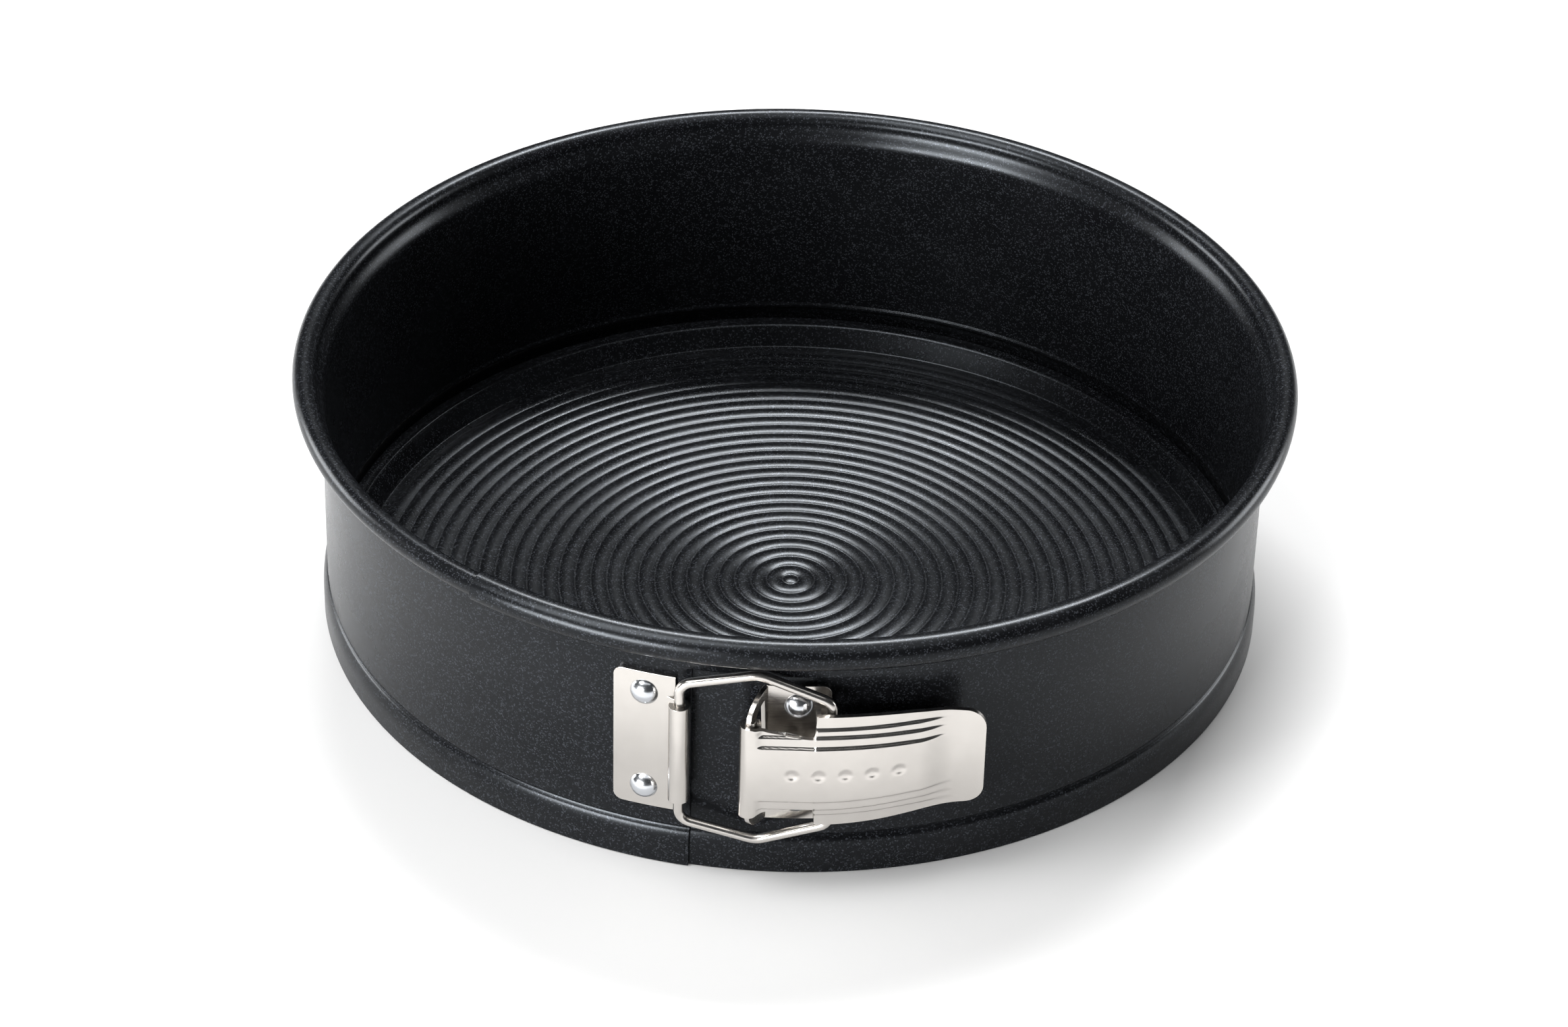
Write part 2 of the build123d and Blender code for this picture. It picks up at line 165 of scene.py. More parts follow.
def coating_material():
    """Charcoal non-stick coating: fine metallic flecks in a satin, slightly rippled film."""
    material, tree, shader = new_material("nonstick_coating")
    link = tree.links.new
    place = node(tree, "ShaderNodeTexCoord")
    flecks = node(tree, "ShaderNodeTexVoronoi", {"Scale": 3400.0}, feature="F1")
    link(place.outputs["Object"], flecks.inputs["Vector"])
    pick = node(tree, "ShaderNodeSeparateColor")
    link(flecks.outputs["Color"], pick.inputs["Color"])
    fleck_share = ramp(tree, [(0.0, 0.0), (0.80, 0.0), (1.0, 1.0)])
    link(pick.outputs["Red"], fleck_share.inputs["Fac"])
    cloud = node(tree, "ShaderNodeTexNoise", {"Scale": 55.0, "Detail": 4.0, "Roughness": 0.6})
    link(place.outputs["Object"], cloud.inputs["Vector"])
    body = ramp(tree, [(0.3, (0.0020, 0.0021, 0.0025)), (0.7, (0.0028, 0.0030, 0.0035))])
    link(cloud.outputs["Fac"], body.inputs["Fac"])
    mix = node(tree, "ShaderNodeMix", data_type="RGBA")
    mix.inputs["B"].default_value = (0.034, 0.037, 0.043, 1)
    link(fleck_share.outputs["Color"], mix.inputs["Factor"])
    link(body.outputs["Color"], mix.inputs["A"])
    link(mix.outputs["Result"], shader.inputs["Base Color"])
    metal = node(tree, "ShaderNodeMath", {1: 0.5}, operation="MULTIPLY")
    link(fleck_share.outputs["Color"], metal.inputs[0])
    link(metal.outputs["Value"], shader.inputs["Metallic"])
    rough = node(
        tree, "ShaderNodeMapRange", {"From Min": 0.3, "From Max": 0.7, "To Min": 0.25, "To Max": 0.30}
    )
    link(cloud.outputs["Fac"], rough.inputs["Value"])
    link(rough.outputs["Result"], shader.inputs["Roughness"])
    grain = node(tree, "ShaderNodeTexNoise", {"Scale": 3000.0, "Detail": 1.0, "Roughness": 0.5})
    link(place.outputs["Object"], grain.inputs["Vector"])
    bump = node(tree, "ShaderNodeBump", {"Strength": 0.04, "Distance": 0.00005})
    link(grain.outputs["Fac"], bump.inputs["Height"])
    link(bump.outputs["Normal"], shader.inputs["Normal"])
    shader.inputs["Specular IOR Level"].default_value = 0.19
    shader.inputs["Specular Tint"].default_value = (0.86, 0.93, 1.0, 1)
    return material


def plated_material(name, colour, roughness, wear):
    """Bright plated steel: faint orange peel, fine scratches and slightly uneven polish."""
    material, tree, shader = new_material(name)
    link = tree.links.new
    place = node(tree, "ShaderNodeTexCoord")
    cloud = node(tree, "ShaderNodeTexNoise", {"Scale": 140.0, "Detail": 5.0, "Roughness": 0.65})
    link(place.outputs["Object"], cloud.inputs["Vector"])
    dark = tuple(c * (1 - wear) for c in colour)
    tint = ramp(tree, [(0.3, dark), (0.65, colour)])
    link(cloud.outputs["Fac"], tint.inputs["Fac"])
    link(tint.outputs["Color"], shader.inputs["Base Color"])
    stretch = node(tree, "ShaderNodeMapping")
    stretch.inputs["Scale"].default_value = (300.0, 300.0, 4200.0)
    link(place.outputs["Object"], stretch.inputs["Vector"])
    scratch = node(tree, "ShaderNodeTexNoise", {"Scale": 1.0, "Detail": 3.0, "Roughness": 0.7})
    link(stretch.outputs["Vector"], scratch.inputs["Vector"])
    rough = node(
        tree,
        "ShaderNodeMapRange",
        {"From Min": 0.3, "From Max": 0.7, "To Min": roughness * 0.8, "To Max": roughness * 1.25},
    )
    link(scratch.outputs["Fac"], rough.inputs["Value"])
    link(rough.outputs["Result"], shader.inputs["Roughness"])
    peel = node(tree, "ShaderNodeTexNoise", {"Scale": 420.0, "Detail": 2.0, "Roughness": 0.5})
    link(place.outputs["Object"], peel.inputs["Vector"])
    bump = node(tree, "ShaderNodeBump", {"Strength": 0.12, "Distance": 0.00008})
    link(peel.outputs["Fac"], bump.inputs["Height"])
    link(bump.outputs["Normal"], shader.inputs["Normal"])
    shader.inputs["Metallic"].default_value = 1.0
    return material


COATING = coating_material()
NICKEL = plated_material("nickel_plate", (0.59, 0.563, 0.532), 0.21, 0.06)
RIVET_STEEL = plated_material("rivet_steel", (0.62, 0.64, 0.67), 0.20, 0.06)


# ---------------------------------------------------------------- mesh helpers
def add_object(name, mesh, material, bevel):
    """Links a smooth-shaded object, with its sharp edges rounded by a bevel given in mm."""
    mesh.shade_smooth()
    mesh.materials.append(material)
    piece = bpy.data.objects.new(name, mesh)
    bpy.context.scene.collection.objects.link(piece)
    if bevel:
        modifier = piece.modifiers.new("edges", "BEVEL")
        modifier.width = bevel * MM
        modifier.segments = 2
        modifier.limit_method = "ANGLE"
        modifier.angle_limit = radians(50)
        modifier.harden_normals = True
        modifier.use_clamp_overlap = True
    return piece


def finish_piece(name, bm, material, bevel, body, cad_node):
    """Makes the object from bm, rides it on its body and puts it in the place of its CAD node."""
    piece = add_object(name, finish_mesh(name, bm), material, bevel)
    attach(piece, body)
    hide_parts(cad_node)


def sheet_into(bm, rows, cols, point, keep=lambda j, i: True, closed=False):
    """Adds a bent sheet to bm. point(j, i) gives the two faces' points, outer and inner, in mm.

    keep(j, i) says whether the cell between rows j, j+1 and columns i, i+1 is there. The cut
    edges get side walls. closed joins the last row to the first.
    """
    outer, inner = {}, {}

    def corner(side, j, i):
        j = j % rows if closed else j
        found = side.get((j, i))
        if found is None:
            a, b = point(j, i)
            outer[(j, i)] = bm.verts.new(a * MM)
            inner[(j, i)] = bm.verts.new(b * MM)
            found = side[(j, i)]
        return found

    last = rows if closed else rows - 1
    cells = {(j, i) for j in range(last) for i in range(cols - 1) if keep(j, i)}

    def has(j, i):
        if closed:
            j %= rows
        return (j, i) in cells

    def quad(*corners):
        bm.faces.new(corners)

    for j, i in sorted(cells):
        k, m = j + 1, i + 1
        quad(corner(outer, j, i), corner(outer, k, i), corner(outer, k, m), corner(outer, j, m))
        quad(corner(inner, j, i), corner(inner, j, m), corner(inner, k, m), corner(inner, k, i))
        if not has(j - 1, i):
            quad(corner(outer, j, i), corner(outer, j, m), corner(inner, j, m), corner(inner, j, i))
        if not has(j + 1, i):
            quad(corner(outer, k, m), corner(outer, k, i), corner(inner, k, i), corner(inner, k, m))
        if not has(j, i - 1):
            quad(corner(outer, k, i), corner(outer, j, i), corner(inner, j, i), corner(inner, k, i))
        if not has(j, i + 1):
            quad(corner(outer, j, m), corner(outer, k, m), corner(inner, k, m), corner(inner, j, m))


def finish_mesh(name, bm):
    """Turns bm into a mesh whose faces all point outward."""
    bmesh.ops.recalc_face_normals(bm, faces=bm.faces)
    mesh = bpy.data.meshes.new(name)
    bm.to_mesh(mesh)
    bm.free()
    return mesh


def smooth_step(x, low, high):
    """0 below low, 1 above high, and a smooth rise between them."""
    t = min(max((x - low) / (high - low), 0.0), 1.0)
    return t * t * (3 - 2 * t)


def arc_points(centre, radius, start, end, count):
    """Points on a circle between two angles in degrees, both ends included."""
    return [
        (
            centre[0] + radius * cos(radians(start + (end - start) * k / (count - 1))),
            centre[1] + radius * sin(radians(start + (end - start) * k / (count - 1))),
        )
        for k in range(count)
    ]


def rounded_path(points, radii, spacing, arc_steps=6):
    """A polyline with rounded corners, as points no further apart than spacing."""
    path = [Vector(points[0])]

    def run_to(target):
        start = path[-1].copy()
        length = (target - start).length
        steps = max(1, round(length / spacing))
        for k in range(1, steps + 1):
            path.append(start.lerp(target, k / steps))

    for k in range(1, len(points) - 1):
        before, here, after = Vector(points[k - 1]), Vector(points[k]), Vector(points[k + 1])
        u, v = (before - here).normalized(), (after - here).normalized()
        half = acos(max(-1.0, min(1.0, u.dot(v)))) / 2
        radius = radii[k - 1]
        back = radius / tan(half)
        start, end = here + u * back, here + v * back
        centre = here + (u + v).normalized() * (radius / sin(half))
        run_to(start)
        a, b = start - centre, end - centre
        from_angle = atan2(a.y, a.x)
        turn = (atan2(b.y, b.x) - from_angle + pi) % (2 * pi) - pi
        for step in range(1, arc_steps + 1):
            t = from_angle + turn * step / arc_steps
            path.append(centre + Vector((cos(t), sin(t))) * radius)
    run_to(Vector(points[-1]))
    return path


def normals_along(path):
    """Unit normals of a 2-D path, to its left."""
    made = []
    for k in range(len(path)):
        ahead = path[min(k + 1, len(path) - 1)]
        behind = path[max(k - 1, 0)]
        t = (Vector(ahead) - Vector(behind)).normalized()
        made.append(Vector((-t.y, t.x)))
    return made


def around(radius, angle, centre_y=0.0):
    """Plan point at this radius and angle from the front, about (0, centre_y)."""
    a = radians(angle)
    return Vector((radius * sin(a), centre_y - radius * cos(a)))


# ---------------------------------------------------------------- side band
def band_profile(inset, cap, lip_low):
    """Middle line of the band's section at one station as (radius, height) points.

    cap is 1 where the rim is the wide cap with its lip and 0 where it is the plain bead.
    """
    mid = WALL_MID - inset
    foot = mid + SHOULDER_STEP
    # the shoulder turns over from the upright skirt like most of a quarter of an ellipse
    wall = [Vector((foot, z)) for z in (0.0, 0.8, 1.6, 2.4, 3.2, 4.0, 4.6)]
    turn = radians(84)
    low = SKIRT_HEIGHT - 0.4
    for k in range(1, 13):
        t = turn * k / 12
        step_in = (SHOULDER_STEP + 0.02) * (1 - cos(t)) / (1 - cos(turn))
        climb = (SHOULDER_TOP + 0.1 - low) * sin(t) / sin(turn)
        wall.append(Vector((foot - step_in, low + climb)))
    wall += rounded_path(
        [
            (mid - 0.1, SHOULDER_TOP + 0.22),
            (mid - CREASE_DEPTH - 0.1, CREASE_HEIGHT - 0.1),
            (mid, CREASE_TOP - 0.5),
            (mid, LIP_BOTTOM),
        ],
        (0.35, 0.5),
        3.2,
    )
    wall.append(Vector((mid, WALL_STRAIGHT_TOP)))

    centre = WALL_OUTER + BEAD_OVERHANG - inset + cap * LAP_STEP
    roll = BEAD_RADIUS - BAND_SHEET / 2 + cap * (LAP_GAP + BAND_SHEET)
    flare = []
    inner_side = centre - roll
    rise = BEAD_HEIGHT - WALL_STRAIGHT_TOP
    for k in range(1, 9):
        t = k / 8
        across = t * t * (3 - 2 * t)
        flare.append(Vector((mid + (inner_side - mid) * across, WALL_STRAIGHT_TOP + rise * t)))

    leave, bead_end = -80.0, -125  # degrees, where the cap's lip turns off and where the plain bead stops
    curl = [Vector(p) for p in arc_points((centre, BEAD_HEIGHT), roll, 180, leave, 34)[1:]]
    bead_tail = [Vector(p) for p in arc_points((centre, BEAD_HEIGHT), roll, leave, bead_end, 13)[1:]]
    lip_mid = WALL_OUTER + LAP_STEP - inset + LAP_GAP + BAND_SHEET / 2
    start = curl[-1]
    fall = (start.x - lip_mid) / -sin(radians(leave)) * cos(radians(leave))
    lip = rounded_path(
        [start, (lip_mid, start.y - fall), (lip_mid, min(lip_low, start.y - fall - 1.3))], (1.0,), 0.9
    )
    tail = resample(lip, 12)
    tail = [plain.lerp(wide, cap) for plain, wide in zip(bead_tail, tail)]
    return wall + flare + curl + tail, len(wall)


def resample(path, count):
    """count points along the path at equal spacing, without its first point."""
    lengths = [0.0]
    for a, b in zip(path, path[1:]):
        lengths.append(lengths[-1] + (b - a).length)
    made = []
    k = 0
    for step in range(1, count + 1):
        want = lengths[-1] * step / count
        while k < len(path) - 2 and lengths[k + 1] < want:
            k += 1
        span = lengths[k + 1] - lengths[k]
        made.append(path[k].lerp(path[k + 1], (want - lengths[k]) / span if span else 0))
    return made


def band_stations():
    """Angles from the cap's end round the back to the seam, closer together at the ends."""
    start, end = CAP_END_ANGLE, 360 + SEAM_ANGLE
    mm_in_degree = 2.005
    spacing = 1.15
    angles = [start + step / mm_in_degree for step in (0, 0.15, 0.4, 0.8, 1.3, 1.9, 2.6, 3.4)]
    while angles[-1] < end - 1.2:
        angles.append(angles[-1] + spacing)
        if abs(angles[-1] - INNER_END_ANGLE) < 0.6:
            angles[-1] = INNER_END_ANGLE
    angles += [end - 0.5, end - 0.1, end]
    return angles


def build_band():
    """The whole strip as one sheet: past the inner end only the cap's lip and curl run on."""
    angles = band_stations()
    corner = 2.6  # radius of the lip's corner at the cap's end
    profiles = []
    for angle in angles:
        from_end = (angle - CAP_END_ANGLE) * pi / 180 * WALL_OUTER
        low = LIP_BOTTOM
        if from_end < corner:
            low += corner - sqrt(corner**2 - (corner - from_end) ** 2)
        cap = 1 - smooth_step(angle, CAP_FULL_UNTIL, CAP_GONE_FROM)
        inset = RIGHT_INSET if angle <= 180 else 0
        profile, wall_count = band_profile(inset, cap, low)
        profiles.append((profile, normals_along(profile), inset))
    half = BAND_SHEET / 2
    lip_column = wall_count - 2

    def point(j, i):
        profile, normals, centre_y = profiles[j]
        made = []
        for side in (-half, half):
            at = profile[i] + normals[i] * side
            plan = around(at.x, angles[j], centre_y)
            made.append(Vector((plan.x, plan.y, at.y)))
        return made

    def keep(j, i):
        return angles[j + 1] > INNER_END_ANGLE + 0.01 or i >= lip_column

    bm = bmesh.new()
    sheet_into(bm, len(angles), len(profiles[0][0]), point, keep)
    finish_piece("band_shell", bm, COATING, 0.14, "ring", "side_band")


# ---------------------------------------------------------------- base disc
def build_base():
    """The ridged tray with its sloping wall and flange, turned about the centre."""
    floor = BASE_SHEET / 2
    points_per_ridge = 10
    radii = [0.03]
    ridge_end = (RIDGE_COUNT + 0.5) * RIDGE_PITCH
    count = int(ridge_end / RIDGE_PITCH * points_per_ridge)
    radii += [ridge_end * k / count for k in range(1, count + 1)]
    mid = []
    for r in radii:
        ridge = abs(cos(pi * r / RIDGE_PITCH)) ** 0.9
        mid.append(Vector((r, floor + RIDGE_HEIGHT * ridge)))
    edge = rounded_path(
        [
            (ridge_end, floor),
            (FLOOR_RADIUS, floor),
            (FLOOR_RADIUS + TRAY_WALL_RUN, FLANGE_HEIGHT),
            (FLANGE_RADIUS, FLANGE_HEIGHT),
        ],
        (0.9, 0.7),
        0.6,
    )
    mid += edge[1:]
    # a shallow hollow along the flange's inner part, between two thin raised lines
    hollow_start = FLOOR_RADIUS + TRAY_WALL_RUN + 0.2
    hollow_width = 1.4
    hollow_depth = 0.16
    for p in mid:
        if p.x > hollow_start:
            p.y -= hollow_depth * sin(pi * min((p.x - hollow_start) / hollow_width, 1.0))
    normals = normals_along(mid)
    half = BASE_SHEET / 2
    rows = 288

    def point(j, i):
        angle = 360 * j / rows
        made = []
        for side in (half, -half):
            at = mid[i] + normals[i] * side
            plan = around(max(at.x, 0.02), angle)
            made.append(Vector((plan.x, plan.y, max(at.y, 0.0))))
        return made

    bm = bmesh.new()
    sheet_into(bm, rows, len(mid), point, closed=True)
    finish_piece("ridged_base", bm, COATING, 0.12, "base", "base_disc")


# ---------------------------------------------------------------- rivets
def build_rivet(name, angle, height, inset):
    """Domed head, shank and flat tail, revolved about the rivet's axis."""
    near_axis = 0.01
    profile = [Vector((LATCH_SHEET + RIVET_HEIGHT, near_axis))]
    dome = (RIVET_RADIUS**2 + RIVET_HEIGHT**2) / (2 * RIVET_HEIGHT)
    for k in range(1, 13):
        a = k / 12 * acos((dome - RIVET_HEIGHT) / dome)
        profile.append(Vector((LATCH_SHEET + RIVET_HEIGHT - dome * (1 - cos(a)), dome * sin(a))))
    tail = -BAND_SHEET - RIVET_TAIL_GAP
    profile += [
        Vector((LATCH_SHEET, RIVET_RADIUS - 0.12)),
        Vector((LATCH_SHEET, SHANK_RADIUS)),
        Vector((tail, SHANK_RADIUS)),
        Vector((tail, RIVET_TAIL_RADIUS)),
        Vector((tail - RIVET_TAIL_HEIGHT, RIVET_TAIL_RADIUS)),
        Vector((tail - RIVET_TAIL_HEIGHT, near_axis)),
    ]
    rows = 40
    bm = bmesh.new()
    origin = around(WALL_OUTER - inset, angle, inset)
    out = around(1, angle)
    across = Vector((-out.y, out.x))
    rings = []
    for j in range(rows):
        t = 2 * pi * j / rows
        ring = []
        for at in profile:
            plan = origin + out * at.x + across * (at.y * cos(t))
            ring.append(bm.verts.new(Vector((plan.x, plan.y, height + at.y * sin(t))) * MM))
        rings.append(ring)
    for j in range(rows):
        here, there = rings[j], rings[(j + 1) % rows]
        for i in range(len(profile) - 1):
            bm.faces.new((here[i], there[i], there[i + 1], here[i + 1]))
    bm.faces.new([ring[0] for ring in rings])
    bm.faces.new([ring[-1] for ring in reversed(rings)])
    finish_piece(name + "_head", bm, RIVET_STEEL, 0.1, "ring", name)


# ---------------------------------------------------------------- latch
def plate_into(bm, start_angle, inset, round_start):
    """A bracket's plate: curved to the wall, with rounded corners at one end."""
    wall = WALL_OUTER - inset
    span = degrees(PLATE_WIDTH / wall)
    off_wall = 0.02
    along = [0, 0.12, 0.35, 0.7, 1.15, 1.65, PLATE_CORNER]
    along += [PLATE_CORNER + (PLATE_WIDTH - PLATE_CORNER) * k / 14 for k in range(1, 15)]
    if not round_start:
        along = [PLATE_WIDTH - a for a in reversed(along)]
    shares = [k / 6 - 1 for k in range(13)]

    def half_height(a):
        from_end = min(a if round_start else PLATE_WIDTH - a, PLATE_CORNER)
        cut = PLATE_CORNER - sqrt(PLATE_CORNER**2 - (PLATE_CORNER - from_end) ** 2)
        return PLATE_HEIGHT / 2 - cut

    def point(j, i):
        angle = start_angle + span * along[j] / PLATE_WIDTH
        z = LATCH_HEIGHT + shares[i] * half_height(along[j])
        made = []
        for r in (wall + LATCH_SHEET, wall + off_wall):
            plan = around(r, angle, inset)
            made.append(Vector((plan.x, plan.y, z)))
        return made

    sheet_into(bm, len(along), len(shares), point)


def standing_sheet_into(bm, path, thickness, low, high):
    """A sheet standing on a path in plan, between two heights."""
    normals = normals_along(path)
    steps = 2

    def point(j, i):
        z = low + (high - low) * i / steps
        made = []
        for side in (thickness / 2, -thickness / 2):
            at = path[j] + normals[j] * side
            made.append(Vector((at.x, at.y, z)))
        return made

    sheet_into(bm, len(path), steps + 1, point)


def tube_into(bm, path, radius, closed=True):
    """A round wire along a path of 3-D points in mm that lies in one upright plane."""
    sides = 18
    across = None
    rings = []
    count = len(path)
    for k in range(count):
        ahead = path[(k + 1) % count] if closed else path[min(k + 1, count - 1)]
        behind = path[k - 1] if closed else path[max(k - 1, 0)]
        t = (ahead - behind).normalized()
        if across is None:
            other = path[count // 3] - path[0]
            across = t.cross(other if other.cross(t).length > 0.1 else Vector((1, 0, 0))).normalized()
        v = t.cross(across).normalized()
        ring = []
        for s in range(sides):
            a = 2 * pi * s / sides
            ring.append(bm.verts.new((path[k] + (across * cos(a) + v * sin(a)) * radius) * MM))
        rings.append(ring)
    for k in range(count if closed else count - 1):
        here, there = rings[k], rings[(k + 1) % count]
        for s in range(sides):
            n = (s + 1) % sides
            bm.faces.new((here[s], here[n], there[n], there[s]))
    if not closed:
        bm.faces.new(rings[0])
        bm.faces.new(list(reversed(rings[-1])))


def build_left_bracket():
    """Plate, neck and the sheet's edge rolled round the wire, ending beside the plate."""
    bm = bmesh.new()
    plate_into(bm, LEFT_PLATE_START, 0.0, True)
    pivot = BAIL_PIVOT.xy
    inward = degrees(atan2(-pivot.y, -pivot.x))
    pivot_angle = degrees(atan2(pivot.x, -pivot.y))
    # the neck leaves the plate this far before the pivot, and the roll follows it round the wire
    neck = [pivot_angle - degrees(run / WALL_OUTER) for run in (4.4, 3.4)]
    roll_from, roll_to = inward + 18, inward - 282
    path = [around(WALL_OUTER + LATCH_SHEET / 2, angle) for angle in neck]
    path += [Vector(p) for p in arc_points(pivot, BARREL_MID, roll_from, roll_to, 44)]
    half = BARREL_LENGTH_LEFT / 2
    standing_sheet_into(bm, path, LATCH_SHEET, LATCH_HEIGHT - half, LATCH_HEIGHT + half)
    finish_piece("left_plate_and_barrel", bm, NICKEL, 0.16, "ring", "left_bracket")


def build_right_bracket():
    """Plate, a web along its left edge and two curved arms that hold the pin."""
    bm = bmesh.new()
    inset = RIGHT_INSET
    plate_into(bm, RIGHT_PLATE_START, inset, False)
    root = around(WALL_OUTER - inset + LATCH_SHEET / 2, RIGHT_PLATE_START, inset)
    pivot = LEVER_PIVOT.xy
    out = (pivot - root).normalized()
    length = (pivot - root).length
    side_way = Vector((-out.y, out.x))

    def on_web(d, z, side):
        plan = root + out * d + side_way * side
        return Vector((plan.x, plan.y, LATCH_HEIGHT + z))

    barrel_end = BARREL_LENGTH_LEVER / 2 + 0.35
    reach = length + WIRE_RADIUS
    half = LATCH_SHEET / 2
    arm_depth, arm_rise, arm_width = 3.0, 2.9, 2.7
    arm_rows, arm_columns = 21, 4
    for way in (1, -1):

        def arm(j, i, way=way):
            t = pi / 2 * j / (arm_rows - 1)
            width = i / (arm_columns - 1)
            d = (reach - arm_depth + arm_depth * width) * sin(t)
            z = barrel_end + (arm_rise + arm_width * width) * cos(t)
            return [on_web(d, way * z, side) for side in (half, -half)]

        sheet_into(bm, arm_rows, arm_columns, arm)

    spine_start, spine_width, spine_hollow = -0.5, 2.4, 0.9
    spine_half = barrel_end + 3.2
    spine_rows, spine_columns = 11, 3

    def spine(j, i):
        share = j / (spine_rows - 1)
        z = (share * 2 - 1) * spine_half
        width = spine_width - spine_hollow * cos(pi * (share - 0.5))
        d = spine_start + width * i / (spine_columns - 1)
        return [on_web(d, z, side) for side in (half, -half)]

    sheet_into(bm, spine_rows, spine_columns, spine)
    pin_end = barrel_end + 0.4
    pin = [Vector((pivot.x, pivot.y, LATCH_HEIGHT + z)) for z in (-pin_end, 0, pin_end)]
    tube_into(bm, pin, WIRE_RADIUS, closed=False)
    finish_piece("right_plate_and_arms", bm, NICKEL, 0.16, "ring", "right_bracket")


def spline(knots, x):
    """Smooth curve through knots (x, value), by Catmull-Rom slopes."""
    k = 0
    while k < len(knots) - 2 and x > knots[k + 1][0]:
        k += 1
    (x0, y0), (x1, y1) = knots[k], knots[k + 1]

    def slope(n):
        if 0 < n < len(knots) - 1:
            return (knots[n + 1][1] - knots[n - 1][1]) / (knots[n + 1][0] - knots[n - 1][0])
        n = max(n, 1)
        return (knots[n][1] - knots[n - 1][1]) / (knots[n][0] - knots[n - 1][0])

    span = x1 - x0
    t = (x - x0) / span
    a, b = slope(k) * span, slope(k + 1) * span
    values = y0 * (1 + 2 * t) * (1 - t) ** 2 + y1 * t * t * (3 - 2 * t)
    slopes = a * t * (1 - t) ** 2 - b * t * t * (1 - t)
    return values + slopes


PANEL_RISE = 1.8  # of the lever's middle panel over its border
BORDER_Y = LEVER_PIVOT.y - BARREL_MID + PANEL_RISE
SHOULDER_X = 7.1
TAB_TIP_X = 45.2
ROLL_EDGE_X = -10.6  # the lever's left edge
TONGUE_END_X = 6.2  # the narrow tongue widens from here
WIDE_START_X = 7.3  # to here
TONGUE_HALF = 9.9
WIDE_HALF = 15.25
FADE_START_X, FADE_END_X = 30.0, 38.5  # the panel and its lines run out between these
# Knots are (x, value): y for the border, and half heights for the tongue and the wide part.
BORDER_KNOTS = [
    (SHOULDER_X - 4, BORDER_Y),
    (SHOULDER_X, BORDER_Y),
    (14.5, BORDER_Y + 0.85),
    (22.0, BORDER_Y + 2.45),
    (29.5, BORDER_Y + 4.75),
    (36.0, BORDER_Y + 6.95),
    (40.5, BORDER_Y + 7.5),
    (TAB_TIP_X, BORDER_Y + 7.3),
]
TONGUE_KNOTS = [
    (ROLL_EDGE_X, 12.6),
    (-8.0, 12.5),
    (-4.0, 11.2),
    (0.0, 10.5),
    (4.0, 10.0),
    (TONGUE_END_X, TONGUE_HALF),
]
WIDE_KNOTS = [
    (SHOULDER_X, WIDE_HALF),
    (16.0, 15.0),
    (22.0, 14.7),
    (28.5, 14.15),
    (35.6, 13.4),
    (41.0, 12.9),
    (TAB_TIP_X, 12.7),
]


def lever_half_height(x):
    """Half the lever's height at this x, with the tab's rounded corners."""
    if x <= TONGUE_END_X:
        return spline(TONGUE_KNOTS, max(x, ROLL_EDGE_X))
    if x < WIDE_START_X:
        return TONGUE_HALF + (WIDE_HALF - TONGUE_HALF) * smooth_step(x, TONGUE_END_X, WIDE_START_X)
    corner = 4.4
    half = spline(WIDE_KNOTS, x)
    past = x - (TAB_TIP_X - corner)
    if past > 0:
        half -= corner - sqrt(max(0.0, corner**2 - past**2))
    return half


def lever_depth(x, z):
    """How far the sheet lies behind its middle panel at this place."""
    z = abs(z)
    step = 0.62
    blur = 0.30
    run = smooth_step(x, -7.2, -5.0)
    fade = 1 - smooth_step(x, FADE_START_X, FADE_END_X)
    narrow = smooth_step(x, 9, 37)
    depth = 0.0
    for at_roll, drift in ((7.6, 0.6), (10.2, 0.8), (12.0, 0.5)):
        line = at_roll - drift * narrow
        depth += step * smooth_step(z, line - blur, line + blur)
    return depth * run * fade


def lever_dimple(x, z):
    """A row of plain round dimples along the panel's middle."""
    first, pitch, count = 1.5, 6.0, 5
    flat_radius, radius, deepest = 0.5, 1.7, 0.34
    depth = 0.0
    for k in range(count):
        distance = hypot(x - (first + pitch * k), z)
        depth += deepest * (1 - smooth_step(distance, flat_radius, radius))
    return depth


